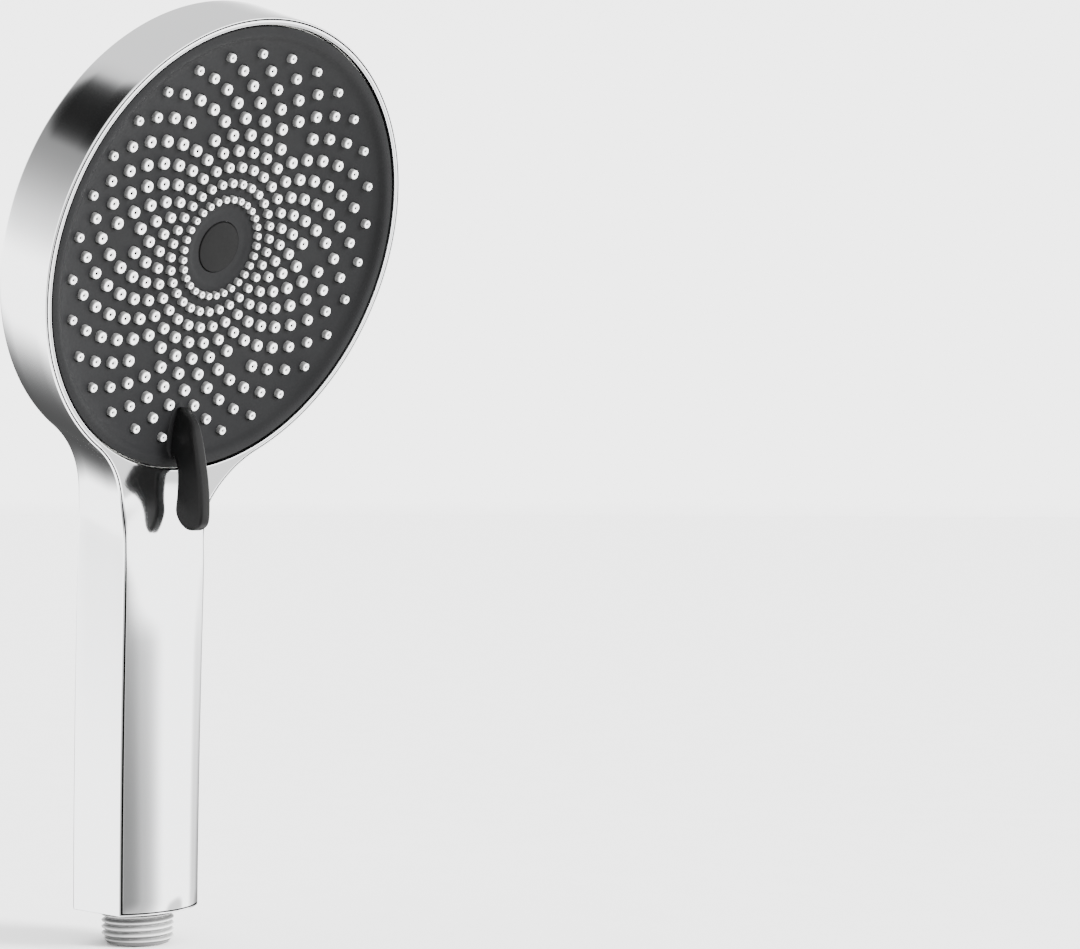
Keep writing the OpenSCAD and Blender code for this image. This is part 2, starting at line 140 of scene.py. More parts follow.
def front_y(x, z):
    """The outer front: the ring's plane, with the handle's barrel rising out of it below the opening."""
    plane = FACE_Y + (FACE_Z - z) * SIN_T / COS_T
    low = min(z, FRONT_EDGE_TOP_Z)
    edge = FRONT_EDGE_Y - FRONT_EDGE_LEAN * low - FRONT_EDGE_CURVE * low * low
    flattening = NECK_FLATTENING * smooth((z - NECK_FLAT_FROM_Z) / NECK_FLAT_OVER)
    bulge = FRONT_BULGE - FRONT_BULGE_TAPER * z - flattening
    barrel = edge - bulge * (1.0 - abs(x / half_width(z)) ** FRONT_ROUNDNESS)
    v = (FACE_Z - z) / COS_T
    beyond = math.hypot(x, v) - OPENING_R - NECK_RISE_GAP
    rise = smooth(beyond / NECK_RISE_OVER) if v > 0.0 else 0.0
    return plane - soft_positive(plane - barrel, BLEND) * rise


def dome_depth(r):
    """Depth of the back below the face plane: a shallow cone with a soft tip."""
    q = r / RIM_R
    return RIM_DEPTH + DOME_RISE * (1.0 - (math.sqrt(q * q + DOME_SOFTNESS) - DOME_START) / DOME_SPAN)


def back_y(x, z):
    """The outer back surface: the head's shallow dome, running into the handle's rounded back."""
    out = -RIM_DEPTH
    for _ in range(DOME_ROUNDS):
        v = (FACE_Z - z - SIN_T * out) / COS_T
        out = -dome_depth(math.hypot(x, v))
    dome = FACE_Y + SIN_T * v - COS_T * out
    edge = BACK_EDGE_Y - BACK_EDGE_LEAN * z - BACK_EDGE_CURVE * z * z
    barrel = edge + BACK_BULGE * (1.0 - min((x / half_width(z)) ** 2, BACK_SPREAD_MAX))
    barrel += DOME_CLEARANCE * smooth((DOME_CLEAR_R - math.hypot(x, v)) / DOME_CLEAR_OVER)
    return barrel - soft_positive(barrel - dome, BLEND)


def height_of(x, v, surface, out):
    """The height z at which a surface crosses the line x, v of the face frame."""
    for _ in range(HEIGHT_ROUNDS):
        z = FACE_Z - COS_T * v - SIN_T * out
        out = (FACE_Y + SIN_T * v - surface(x, z)) / COS_T
    return z


def surface_point(surface, x, z, depth=0.0):
    """A point on a surface, sunk below it by depth."""
    h = SLOPE_STEP
    point = Vector((x, surface(x, z), z))
    if depth:
        slope_x = (surface(x + h, z) - surface(x - h, z)) / (2.0 * h)
        slope_z = (surface(x, z + h) - surface(x, z - h)) / (2.0 * h)
        point -= Vector((slope_x, -1.0, slope_z)).normalized() * depth
    return point


# ---------------------------------------------------------------- mesh building
class Skin:
    """A mesh being put together from rows of points, in millimetres."""

    def __init__(self):
        self.points = []
        self.faces = []
        self.dark = []

    def row(self, points):
        """Adds points, and returns their indices."""
        start = len(self.points)
        self.points.extend(Vector(p) for p in points)
        return list(range(start, start + len(points)))

    def strip(self, a, b, closed=False, dark=False):
        """Joins two rows with quads. Dark ones get the piece's second material, a near-black painted shadow.
        """
        n = len(a)
        if dark:
            self.dark.extend(range(len(self.faces), len(self.faces) + (n if closed else n - 1)))
        for i in range(n if closed else n - 1):
            j = (i + 1) % n
            self.faces.append((a[i], a[j], b[j], b[i]))

    def fan(self, ring, centre):
        n = len(ring)
        for i in range(n):
            self.faces.append((ring[i], ring[(i + 1) % n], centre))

    def cap(self, ring):
        self.faces.append(tuple(ring))

    def build(self, name, sharp=30.0):
        mesh = bpy.data.meshes.new(name)
        mesh.from_pydata([p * MM for p in self.points], [], self.faces)
        for i in self.dark:
            mesh.polygons[i].material_index = 1
        clean(mesh)
        return finish_object(name, mesh, sharp)


def clean(mesh):
    """Joins coincident points, drops empty faces and turns every face outwards."""
    bm = bmesh.new()
    bm.from_mesh(mesh)
    bmesh.ops.remove_doubles(bm, verts=bm.verts, dist=1e-7)
    bmesh.ops.dissolve_degenerate(bm, edges=bm.edges, dist=1e-7)
    bmesh.ops.recalc_face_normals(bm, faces=bm.faces)
    bm.to_mesh(mesh)
    bm.free()


def finish_object(name, mesh, sharp):
    """A smooth-shaded object, with edges over an angle in degrees left sharp."""
    mesh.polygons.foreach_set("use_smooth", [True] * len(mesh.polygons))
    mesh.set_sharp_from_angle(angle=math.radians(sharp))
    piece = bpy.data.objects.new(name, mesh)
    bpy.context.scene.collection.objects.link(piece)
    return piece


def apply_modifiers(piece):
    """Bakes a piece's modifiers into its mesh, so that the mesh is what is seen."""
    depsgraph = bpy.context.evaluated_depsgraph_get()
    baked = bpy.data.meshes.new_from_object(piece.evaluated_get(depsgraph))
    piece.modifiers.clear()
    piece.data = baked


def bezier(a, corner, b, steps):
    """Points of a rounded corner from a to b."""
    points = []
    for i in range(steps + 1):
        t = i / steps
        points.append(a * (1 - t) ** 2 + corner * (2 * t * (1 - t)) + b * t * t)
    return points


def full_turn(segments):
    return [2.0 * math.pi * i / segments for i in range(segments)]


def lathe(skin, profile, segments, place, closed=True):
    """Turns an (r, out) profile round the axis. A closed profile makes a ring-shaped solid."""
    turns = full_turn(segments)
    rings = []
    for r, out in profile:
        rings.append(skin.row([place(r * math.cos(a), r * math.sin(a), out) for a in turns]))
    for a, b in zip(rings, rings[1:] + (rings[:1] if closed else [])):
        skin.strip(a, b, closed=True)
    return rings


def flat_place(x, y, z):
    return Vector((x, y, z))


# ---------------------------------------------------------------- the outline shared by both shells
TANGENT = math.atan2(NECK_X, NECK_V)
COLUMNS = 48
RIM_STEPS = 254
NECK_STEPS = 16
HANDLE_STEPS = 26
LIP = 0.45
FRONT_OUT_GUESS = 3.5
BACK_OUT_GUESS = -17.0
HANDLE_TOP = height_of(HANDLE_MAX_HALF_W, NECK_V, front_y, FRONT_OUT_GUESS)
BACK_LEAD = height_of(HANDLE_MAX_HALF_W, NECK_V, back_y, BACK_OUT_GUESS) - HANDLE_TOP


# A station gives x and z of a point of the outline on a surface, moved inwards by delta
def rim_station(angle):
    def at(surface, delta, out):
        r = RIM_R - delta
        x, v = r * math.sin(angle), r * math.cos(angle)
        return x, height_of(x, v, surface, out)
    return at


def neck_station(angle, side):
    def at(surface, delta, out):
        r = NECK_R + delta
        x, v = NECK_X + r * math.cos(angle), NECK_V + r * math.sin(angle)
        return side * x, height_of(x, v, surface, out)
    return at


def handle_station(t, side):
    def at(surface, delta, out):
        bottom = FOOT_Z + max(delta, LIP)
        z = HANDLE_TOP + (bottom - HANDLE_TOP) * t
        if surface is back_y:
            z += BACK_LEAD * (1.0 - t) ** 2
        return side * (half_width(z) - delta), z
    return at


def side_stations(side):
    """From the rim's end of the neck fillet down to the foot."""
    start = math.pi + math.atan2(NECK_V, NECK_X)
    stations = []
    for i in range(1, NECK_STEPS):
        stations.append(neck_station(start + (math.pi - start) * i / NECK_STEPS, side))
    for i in range(HANDLE_STEPS + 1):
        stations.append(handle_station(i / HANDLE_STEPS, side))
    return stations


RIM = [
    rim_station(TANGENT + (2.0 * math.pi - 2.0 * TANGENT) * i / RIM_STEPS) for i in range(RIM_STEPS + 1)
]
RIGHT = side_stations(1)
LEFT = side_stations(-1)
ACROSS = [-1.0 + 2.0 * i / COLUMNS for i in range(COLUMNS + 1)]
NECK_DROP = 7.4
NECK_DROP_FROM_Z = 96.0


def bottom_row(surface, delta, depth):
    x, z = RIGHT[-1](surface, delta, 0.0)
    return [surface_point(surface, c * x, z, depth) for c in ACROSS[1:-1]]


def border(surface, delta, depth):
    """A closed loop round the front: over the rim, down the left, along the foot and up the right."""
    stations = RIM + LEFT
    points = [surface_point(surface, *s(surface, delta, 0.0), depth) for s in stations]
    points += bottom_row(surface, delta, depth)
    points += [surface_point(surface, *s(surface, delta, 0.0), depth) for s in reversed(RIGHT)]
    return points


def neck_row(surface, x, z, top_z, depth=0.0):
    """The inner points of a row across the neck or handle, bowed to follow the opening near the head."""
    drop = NECK_DROP * smooth((z - NECK_DROP_FROM_Z) / (top_z - NECK_DROP_FROM_Z))
    return [surface_point(surface, c * x, z - drop * (1.0 - c * c), depth) for c in ACROSS[1:-1]]


def fill_neck(skin, surface, top, left, right, bottom, depth=0.0):
    """Fills from the arc under the head down to the foot. left and right are the rows' end points."""
    top_z = skin.points[right[0]].z
    above = top
    for a, b in zip(left[:-1], right[:-1]):
        edge = skin.points[b]
        inner = skin.row(neck_row(surface, edge.x, edge.z, top_z, depth))
        row = [a] + inner + [b]
        skin.strip(above, row)
        above = row
    skin.strip(above, [left[-1]] + bottom + [right[-1]])


def circle_arc(surface, r, depth, out):
    """Points of a circle of the face frame: first the arc that faces the handle, then the rest."""
    neck, rest = [], []
    for c in ACROSS:
        x, v = r * math.sin(c * TANGENT), r * math.cos(c * TANGENT)
        neck.append(surface_point(surface, x, height_of(x, v, surface, out), depth))
    for i in range(1, RIM_STEPS):
        a = TANGENT + (2.0 * math.pi - 2.0 * TANGENT) * i / RIM_STEPS
        x, v = r * math.sin(a), r * math.cos(a)
        rest.append(surface_point(surface, x, height_of(x, v, surface, out), depth))
    return neck, rest


def split_border(loop):
    """A border loop's rim, left side, foot and right side, each side from the rim down."""
    n_rim, n_side = len(RIM), len(LEFT)
    rim = loop[:n_rim]
    left = [loop[n_rim - 1]] + loop[n_rim:n_rim + n_side]
    foot = loop[n_rim + n_side:n_rim + n_side + COLUMNS - 1]
    right = [loop[0]] + loop[n_rim + n_side + COLUMNS - 1:][::-1]
    return rim, left, foot, right


def front_face(skin, loop, hole_r, depth):
    """Fills between a border loop and the opening, and returns the opening's loop."""
    rim, left, foot, right = split_border(loop)
    neck, rest = circle_arc(front_y, hole_r, depth, 0.0)
    neck = skin.row(neck)
    rest = skin.row(rest)
    fill_neck(skin, front_y, neck, left, right, foot, depth)
    skin.strip(rim, [neck[-1]] + rest + [neck[0]])
    return neck + rest


# ---------------------------------------------------------------- the chrome shells
GROOVE_W = 0.38
GROOVE_DEPTH = 0.8
FLANGE_GAP = 0.06
SHELL_WALL = 0.2
SHELL_SHARP = 50.0
# Rows from the flat of the front's edge to its side: distance inwards, and depth
FRONT_EDGE_ROWS = [(0.14, 0.0), (0.03, 0.05), (0.0, 0.16)]
# The opening's wall: how much wider than the opening, and depth
HOLE_ROWS = [(0.09, 0.06), (0.0, 0.27), (0.0, 2.5), (0.9, 2.5)]
HOLE_TOP = 0.3
HOLE_UNDERCUT = 0.9


def build_front_skin():
    """The chrome front: the ring round the spray face and the handle's front, in one piece."""
    skin = Skin()
    edge = LIP + GROOVE_W
    under_depth = GROOVE_DEPTH - FLANGE_GAP
    top, middle, upper = [skin.row(border(front_y, edge + inset, depth)) for inset, depth in FRONT_EDGE_ROWS]
    lower = skin.row(border(front_y, edge, under_depth))
    skin.strip(top, middle, closed=True)
    skin.strip(middle, upper, closed=True)
    # The groove's wall between the shells is painted near black: painted shadow.
    skin.strip(upper, lower, closed=True, dark=True)
    hole = front_face(skin, top, OPENING_R + HOLE_TOP, 0.0)
    under = front_face(skin, lower, OPENING_R + HOLE_UNDERCUT, under_depth)
    for wider, depth in HOLE_ROWS:
        neck, rest = circle_arc(front_y, OPENING_R + wider, depth, 0.0)
        ring = skin.row(neck + rest)
        skin.strip(hole, ring, closed=True)
        hole = ring
    skin.strip(hole, under, closed=True)
    return skin.build("front_skin", sharp=SHELL_SHARP)


LIP_TUCK = 0.05
FLANGE_INSET = 1.85
FLANGE_TOP = 0.08
FRONT_EDGE_ROUND = 0.55
BACK_EDGE_ROUND = 0.9
BACK_EDGE_INSET = 1.0
CORNER_STEPS = 5


def side_profile(station):
    """From the lip over the front edge, along the side wall and round the back edge."""
    x, z = station(front_y, 0.0, 0.0)
    front = Vector((x, front_y(x, z), z))
    lip = surface_point(front_y, *station(front_y, LIP - LIP_TUCK, 0.0))
    xb, zb = station(back_y, 0.0, -RIM_DEPTH)
    back = Vector((xb, back_y(xb, zb), zb))
    if station in (RIGHT[-1], LEFT[-1]):
        front.z = back.z = FOOT_Z + LIP
    inner = surface_point(back_y, *station(back_y, BACK_EDGE_INSET, -RIM_DEPTH))
    along = (back - front).normalized()
    points = bezier(lip, front, front + along * FRONT_EDGE_ROUND, CORNER_STEPS)
    for t in (0.25, 0.5, 0.75):
        points.append(front.lerp(back, t))
    points += bezier(back - along * BACK_EDGE_ROUND, back, inner, CORNER_STEPS)
    return points


# Radii of the back's rings, from the rim inwards
BACK_RADII = [62.0, 56.0, 48.0, 38.0, 28.0, 18.0, 10.0, 5.0, 2.0]
# The foot's rounded edge: drop below its start, and distance inwards
FOOT_ROWS = [(0.3, 0.06), (0.42, 0.2), (LIP, 0.5)]
# The spigot's hole in the foot: radius, and height above the foot
FOOT_HOLE_ROWS = [(10.9, 0.0), (10.65, 0.12), (10.65, 2.0)]


def fill_back(skin, columns):
    """Fills the back between the side profiles' last points, and returns the foot's row."""
    n_rim, n_side = len(RIM), len(LEFT)
    last = [c[-1] for c in columns]
    right = last[:n_side + 1][::-1]
    rim = last[n_side:n_side + n_rim]
    left = last[n_side + n_rim - 1:]
    foot_z = skin.points[right[-1]].z
    foot_x = skin.points[right[-1]].x
    foot = skin.row([surface_point(back_y, c * foot_x, foot_z) for c in ACROSS[1:-1]])
    hub_neck, hub_rest = circle_arc(back_y, BACK_RADII[1], 0.0, -RIM_DEPTH)
    hub_neck, hub_rest = skin.row(hub_neck), skin.row(hub_rest)
    fill_neck(skin, back_y, hub_neck, left, right, foot)
    inset = RIM_R - BACK_RADII[0]
    outer = skin.row([surface_point(back_y, *s(back_y, inset, -RIM_DEPTH)) for s in RIM])
    skin.strip(rim, outer)
    skin.strip(outer, [hub_neck[-1]] + hub_rest + [hub_neck[0]])
    skin.faces.append((rim[0], outer[0], hub_neck[-1]))
    skin.faces.append((rim[-1], hub_neck[0], outer[-1]))
    ring = hub_neck + hub_rest
    for r in BACK_RADII[2:]:
        neck, rest = circle_arc(back_y, r, 0.0, -RIM_DEPTH)
        inner = skin.row(neck + rest)
        skin.strip(ring, inner, closed=True)
        ring = inner
    centre = skin.row([on_face(0.0, 0.0, -dome_depth(0.0))])[0]
    skin.fan(ring, centre)
    return foot


def close_foot(skin, rise, columns, foot):
    """The foot: a rounded edge all round, then the flat end with its hole for the spigot."""
    n_rim, n_side = len(RIM), len(LEFT)
    front_foot = rise[n_rim + n_side:n_rim + n_side + COLUMNS - 1]
    front_row = skin.row(bottom_row(front_y, LIP - LIP_TUCK, 0.0))
    outer = [columns[-1][0]] + front_row + [columns[0][0]]
    inner = [rise[n_rim + n_side - 1]] + front_foot + [rise[-n_side]]
    skin.strip(outer, inner)
    loop = front_row + columns[0] + foot[::-1] + columns[-1][::-1]
    corners = [skin.points[i].copy() for i in loop]
    rings = []
    for drop, inset in FOOT_ROWS:
        flats = [Vector((p.x, p.y, 0.0)).normalized() for p in corners]
        rings.append([p - flat * inset - Vector((0.0, 0.0, drop)) for p, flat in zip(corners, flats)])
    for r, height in FOOT_HOLE_ROWS:
        turns = [math.atan2(p.y, p.x) for p in corners]
        rings.append([Vector((r * math.cos(a), r * math.sin(a), FOOT_Z + height)) for a in turns])
    for ring in rings:
        row = skin.row(ring)
        skin.strip(loop, row, closed=True)
        loop = row


def build_rear_skin():
    """The chrome back: the lip, the side walls, the domed back and the foot."""
    skin = Skin()
    flange = skin.row(border(front_y, FLANGE_INSET, GROOVE_DEPTH))
    floor = skin.row(border(front_y, LIP, GROOVE_DEPTH))
    rise = skin.row(border(front_y, LIP, FLANGE_TOP))
    # The flange and the groove's floor are painted near black: painted shadow.
    skin.strip(flange, floor, closed=True, dark=True)
    skin.strip(floor, rise, closed=True, dark=True)

    n_rim, n_side = len(RIM), len(LEFT)
    stations = list(reversed(RIGHT)) + RIM + LEFT
    rise_order = rise[-n_side:] + rise[:n_rim + n_side]
    columns = [skin.row(side_profile(s)) for s in stations]
    skin.strip(rise_order, [c[0] for c in columns])
    for level in range(len(columns[0]) - 1):
        skin.strip([c[level] for c in columns], [c[level + 1] for c in columns])
    foot = fill_back(skin, columns)
    close_foot(skin, rise, columns, foot)

    shell = skin.build("rear_skin", sharp=SHELL_SHARP)
    wall = shell.modifiers.new("wall", "SOLIDIFY")
    wall.thickness = SHELL_WALL * MM
    wall.offset = -1.0
    apply_modifiers(shell)
    return shell


# ---------------------------------------------------------------- the spray face
DISH_DEPTH = 5.3
DISH_RISE = 2.35
DISH_R = 55.8
DISH_POWER = 5
CENTRE_DIP = 0.3
CENTRE_DIP_R = 11.6
CENTRE_DIP_OVER = 2.2
CAP_R = 7.25
PLATE_R = 63.9
FIRST_RING_R = 14.07
RING_STEP = 4.638
WIDEST_NOZZLE_R = 1.7
NOZZLE_R_FALL = 0.026
MIDDLE_RING = 5
LEVER_RING = 8


def dish(r):
    """Depth of the plate's dished middle below the ring's front plane."""
    floor = -DISH_DEPTH + DISH_RISE * (r / DISH_R) ** DISH_POWER
    return floor - CENTRE_DIP * smooth((CENTRE_DIP_R - r) / CENTRE_DIP_OVER)


def ring_r(k):
    return FIRST_RING_R + RING_STEP * k


def nozzle_r(k):
    return WIDEST_NOZZLE_R - NOZZLE_R_FALL * (k - MIDDLE_RING) ** 2


def nozzle_places():
    """(ring, x, v) of each nozzle, less the gaps in the middle ring and the place under the lever."""
    for k in range(NOZZLE_RINGS):
        for j in range(NOZZLES_PER_RING):
            turn = (j + (k % 2) / 2.0) * 360.0 / NOZZLES_PER_RING
            if k == MIDDLE_RING and (turn - 30.0) % 60.0 == 0.0:
                continue
            if k == LEVER_RING and turn == 0.0:
                continue
            a = math.radians(turn)
            yield k, ring_r(k) * math.sin(a), ring_r(k) * math.cos(a)


def nozzle_place(x0, v0, base):
    def place(x, v, out):
        return on_face(x0 + x, v0 + v, base + out)
    return place


PLATE_THICKNESS = 1.6
PLATE_SEGMENTS = 240
MOAT_GAP = 0.16
MOAT_BOTTOM = -7.0
MOAT_CLEARANCE = 1.2
# The plate's lip: radius, and height out of the face
LIP_RISE = [(60.0, -1.62), (60.6, -1.12), (61.1, -0.76), (61.6, -0.53), (62.2, -0.43), (63.5, -0.4)]
LIP_EDGE = [(63.75, -0.45), (63.87, -0.6), (PLATE_R, -0.8), (PLATE_R, -2.4)]
LIP_BACK = [(60.6, -2.45), (60.6, -9.0), (58.8, -9.0), (58.8, -3.6)]
# The hole round a nozzle: how much wider than the nozzle, and height above the plate
HOLE_SHAPE = [(0.1, -3.0), (0.1, -0.22), (0.3, 0.03), (0.4, 1.2)]
NOZZLE_SEGMENTS = 24
PLATE_SHARP = 24.0


def plate_profile():
    """The plate's closed (r, out) outline, from the moat round the cap outwards and back underneath."""
    moat = [
        (CAP_R + MOAT_GAP, MOAT_BOTTOM), (CAP_R + MOAT_GAP, dish(8.0) - 0.12), (CAP_R + 0.3, dish(8.0)),
    ]
    moat += [(r, dish(r)) for r in (8.6, 9.3, 9.7, 10.1, 10.5, 10.9, 11.3)]
    rise = [(r, dish(r)) for r in [11.8 + i * 2.4 for i in range(20)]]
    lip = [(59.2, dish(59.2))] + LIP_RISE + LIP_EDGE + LIP_BACK
    under = [(r, dish(r) - PLATE_THICKNESS) for r in (54.0, 46.0, 34.0, 20.0, 13.0)]
    return moat + rise + lip + under + [(CAP_R + MOAT_CLEARANCE, MOAT_BOTTOM)]


def build_hole_cutter():
    """All the nozzle holes as one solid, each with a small countersink."""
    holes = Skin()
    for k, x, v in nozzle_places():
        place = nozzle_place(x, v, dish(ring_r(k)))
        profile = [(nozzle_r(k) + wider, out) for wider, out in HOLE_SHAPE]
        rings = lathe(holes, profile, NOZZLE_SEGMENTS, place, closed=False)
        holes.cap(rings[0][::-1])
        holes.cap(rings[-1])
    return holes.build("hole_cutter")


def build_face_plate():
    """The dished plate with its lip and its nozzle holes."""
    skin = Skin()
    lathe(skin, plate_profile(), PLATE_SEGMENTS, on_face)
    plate = skin.build("face_plate_skin", sharp=PLATE_SHARP)
    cutter = build_hole_cutter()
    cut = plate.modifiers.new("holes", "BOOLEAN")
    cut.operation = "DIFFERENCE"
    cut.solver = "MANIFOLD"
    cut.object = cutter
    bpy.context.view_layer.update()
    apply_modifiers(plate)
    bpy.data.objects.remove(cutter)
    plate.data.polygons.foreach_set("use_smooth", [True] * len(plate.data.polygons))
    plate.data.set_sharp_from_angle(angle=math.radians(PLATE_SHARP))
    return plate


NOZZLE_HEIGHT = 1.3
NOZZLE_ROOT = -2.6
BORE_DEPTH = 2.2
BORE_R = 0.2
MAT_RADII = [CAP_R + 0.6, 13.0, 20.0, 30.0, 40.0, 48.0, 54.0, 58.4]
MAT_GAP = 1.75
MAT_THICKNESS = 1.4
MAT_SEGMENTS = 180


def nozzle_profile(r):
    """A nozzle from its root over the rim of its tip and into its countersunk bore."""
    top = NOZZLE_HEIGHT
    return [
        (r, NOZZLE_ROOT), (r, 0.0), (r * 0.99, 0.25), (r * 0.95, top * 0.62), (r * 0.92, top * 0.86),
        (r * 0.86, top * 0.965), (r * 0.78, top), (r * 0.54, top), (r * 0.5, top - 0.03),
        (r * 0.3, top - 0.25), (r * 0.24, top - 0.3),
    ]


def build_nozzles():
    """The soft mat: a sheet behind the plate, with a tapered nozzle through each hole."""
    skin = Skin()
    sheet = [(r, -DISH_DEPTH - MAT_GAP + DISH_RISE * (r / DISH_R) ** DISH_POWER) for r in MAT_RADII]
    under = [(r, out - MAT_THICKNESS) for r, out in reversed(sheet)]
    lathe(skin, sheet + under, MAT_SEGMENTS, on_face)
    turns = full_turn(NOZZLE_SEGMENTS)
    for k, x, v in nozzle_places():
        r = nozzle_r(k)
        place = nozzle_place(x, v, dish(ring_r(k)))
        rings = lathe(skin, nozzle_profile(r), NOZZLE_SEGMENTS, place, closed=False)
        skin.cap(rings[0][::-1])
        bore = r * BORE_R
        bottom = NOZZLE_HEIGHT - BORE_DEPTH
        floor = skin.row([place(bore * math.cos(a), bore * math.sin(a), bottom) for a in turns])
        # The bore's wall is painted near black: painted shade inside the nozzle.
        skin.strip(rings[-1], floor, closed=True, dark=True)
        skin.cap(floor)
    return skin.build("nozzle_mat_skin", sharp=40.0)


def spline(points, steps):
    """A smooth closed curve through the points."""
    n = len(points)
    result = []
    for i in range(n):
        p0, p1, p2, p3 = (Vector(points[(i + k) % n]) for k in (-1, 0, 1, 2))
        for s in range(steps):
            t = s / steps
            result.append(0.5 * (
                2 * p1 + (p2 - p0) * t + (2 * p0 - 5 * p1 + 4 * p2 - p3) * t * t
                + (3 * p1 - p0 - 3 * p2 + p3) * t * t * t
            ))
    return result


# The lever's side view: distance v down the face, and height out of it
LEVER_RIDGE = [(46.7, -1.4), (48.9, 3.1), (52.4, 5.9), (58.4, 9.7), (64.0, 12.9), (70.0, 15.6)]
LEVER_TIP = [(74.3, 16.6), (76.8, 15.1), (77.9, 12.6), (77.8, 10.4), (76.8, 8.0), (74.6, 5.9)]
LEVER_FOOT = [(70.6, 4.9), (66.4, 3.7), (63.2, 2.3), (60.6, 0.0), (58.8, -3.0)]
LEVER_HEEL = [(52.0, -4.4), (47.2, -3.9)]
LEVER_STEPS = 6
LEVER_HALF_W = 2.0
LEVER_NARROWING = 0.32
LEVER_NARROW_V = 53.5
LEVER_NARROW_OVER = 7.0
# Half of the lever's section: how far across, and distance inside the side view's outline
LEVER_SECTION = [(1.0, 1.3), (0.985, 0.85), (0.92, 0.46), (0.8, 0.18), (0.66, 0.04), (0.5, 0.0)]


def build_lever():
    """The mode lever: a rounded fin, narrower where it leaves the plate."""
    side = spline(LEVER_RIDGE + LEVER_TIP + LEVER_FOOT + LEVER_HEEL, LEVER_STEPS)
    centre = sum((p for p in side), Vector((0.0, 0.0))) / len(side)
    skin = Skin()
    levels = [(-across, inset) for across, inset in LEVER_SECTION] + [(0.0, 0.0)] + LEVER_SECTION[::-1]
    rings = []
    for across, inset in levels:
        ring = []
        for i, p in enumerate(side):
            tangent = (side[(i + 1) % len(side)] - side[i - 1]).normalized()
            inward = Vector((-tangent.y, tangent.x))
            if inward.dot(centre - p) < 0.0:
                inward = -inward
            q = p + inward * inset
            narrow = 1.0 - LEVER_NARROWING * smooth((LEVER_NARROW_V - p.x) / LEVER_NARROW_OVER)
            ring.append(on_face(across * LEVER_HALF_W * narrow, q.x, q.y))
        rings.append(skin.row(ring))
    for a, b in zip(rings, rings[1:]):
        skin.strip(a, b, closed=True)
    skin.cap(rings[0][::-1])
    skin.cap(rings[-1])
    return skin.build("lever_skin", sharp=60.0)


PAD_HALF_LENGTH = 9.0
PAD_HALF_WIDTH = 3.5
PAD_MIDDLE_V = 54.6
PAD_SEGMENTS = 64
PAD_TOP = -0.95
# The pad's rings: size, and height above the plate
PAD_ROWS = [(1.0, -0.5), (1.0, 0.02), (0.95, 0.2), (0.86, 0.38), (0.74, 0.5), (0.58, 0.56), (0.3, 0.6)]
LIP_START_R = 59.5
LIP_START = -2.0
LIP_SLOPE = 0.9


def build_lever_base():
    """The low moulded pad that the lever grows from, following the dish and the start of the lip."""
    skin = Skin()
    rings = []
    for scale, lift in PAD_ROWS:
        ring = []
        for a in full_turn(PAD_SEGMENTS):
            x = PAD_HALF_WIDTH * scale * math.cos(a)
            v = PAD_MIDDLE_V + PAD_HALF_LENGTH * scale * math.sin(a)
            r = math.hypot(x, v)
            floor = dish(r)
            if r >= LIP_START_R:
                floor = max(dish(LIP_START_R), LIP_START) + LIP_SLOPE * (r - LIP_START_R)
            ring.append(on_face(x, v, min(floor, PAD_TOP) + lift))
        rings.append(skin.row(ring))
    for a, b in zip(rings, rings[1:]):
        skin.strip(a, b, closed=True)
    skin.cap(rings[0][::-1])
    skin.cap(rings[-1])
    return skin.build("lever_base", sharp=60.0)


# The cap's outline: radius, and depth below the dish
CAP_SHAPE = [(3.0, 0.02), (6.9, 0.0), (CAP_R - 0.1, 0.05), (CAP_R, 0.2), (CAP_R, 1.1), (3.0, 1.1)]
CAP_SEGMENTS = 96


def build_cap():
    """The round cap in the middle of the plate."""
    profile = [(r, -DISH_DEPTH - depth) for r, depth in CAP_SHAPE]
    skin = Skin()
    rings = lathe(skin, profile, CAP_SEGMENTS, on_face, closed=False)
    skin.cap(rings[0])
    skin.cap(rings[-1][::-1])
    return skin.build("cap_skin", sharp=40.0)


# ---------------------------------------------------------------- the water tube and its threaded spigot
CREST_R = 10.47
ROOT_R = 9.3
PITCH = 1.814
CREST_ROUNDNESS = 0.8
LEAD_IN = (0.2, 1.4)
RUN_OUT = (9.4, 0.8)
CHAMFER = 0.35
CHAMFER_HEIGHT = 0.5
TUBE_SEGMENTS = 144
THREAD_ROWS = 96
# The tube above the thread: its flange in the foot, its outside, its end, its bore and the spigot's end face
TUBE_OUTSIDE = [(9.3, 11.9), (12.3, 11.9), (12.3, 13.9), (9.3, 13.9), (9.3, 26.0), (6.6, 26.0), (6.6, 103.4)]
TUBE_END = [(6.0, 103.8), (6.0, 104.3), (6.6, 104.6), (6.6, 110.0), (5.0, 110.0)]
TUBE_BORE = [(5.0, 15.0), (7.2, 15.0), (7.2, 0.35), (7.4, 0.08), (7.7, 0.0), (8.6, 0.0)]


def thread_radius(angle, z):
    """A rounded helical thread that fades in at the end and out towards the foot."""
    phase = (z / PITCH - angle / (2.0 * math.pi)) % 1.0
    wave = 0.5 + 0.5 * math.cos(2.0 * math.pi * phase)
    height = (CREST_R - ROOT_R) * wave ** CREST_ROUNDNESS
    fade = smooth((z - LEAD_IN[0]) / LEAD_IN[1]) * smooth((RUN_OUT[0] - z) / RUN_OUT[1])
    return ROOT_R - CHAMFER * smooth((CHAMFER_HEIGHT - z) / CHAMFER_HEIGHT) + height * fade


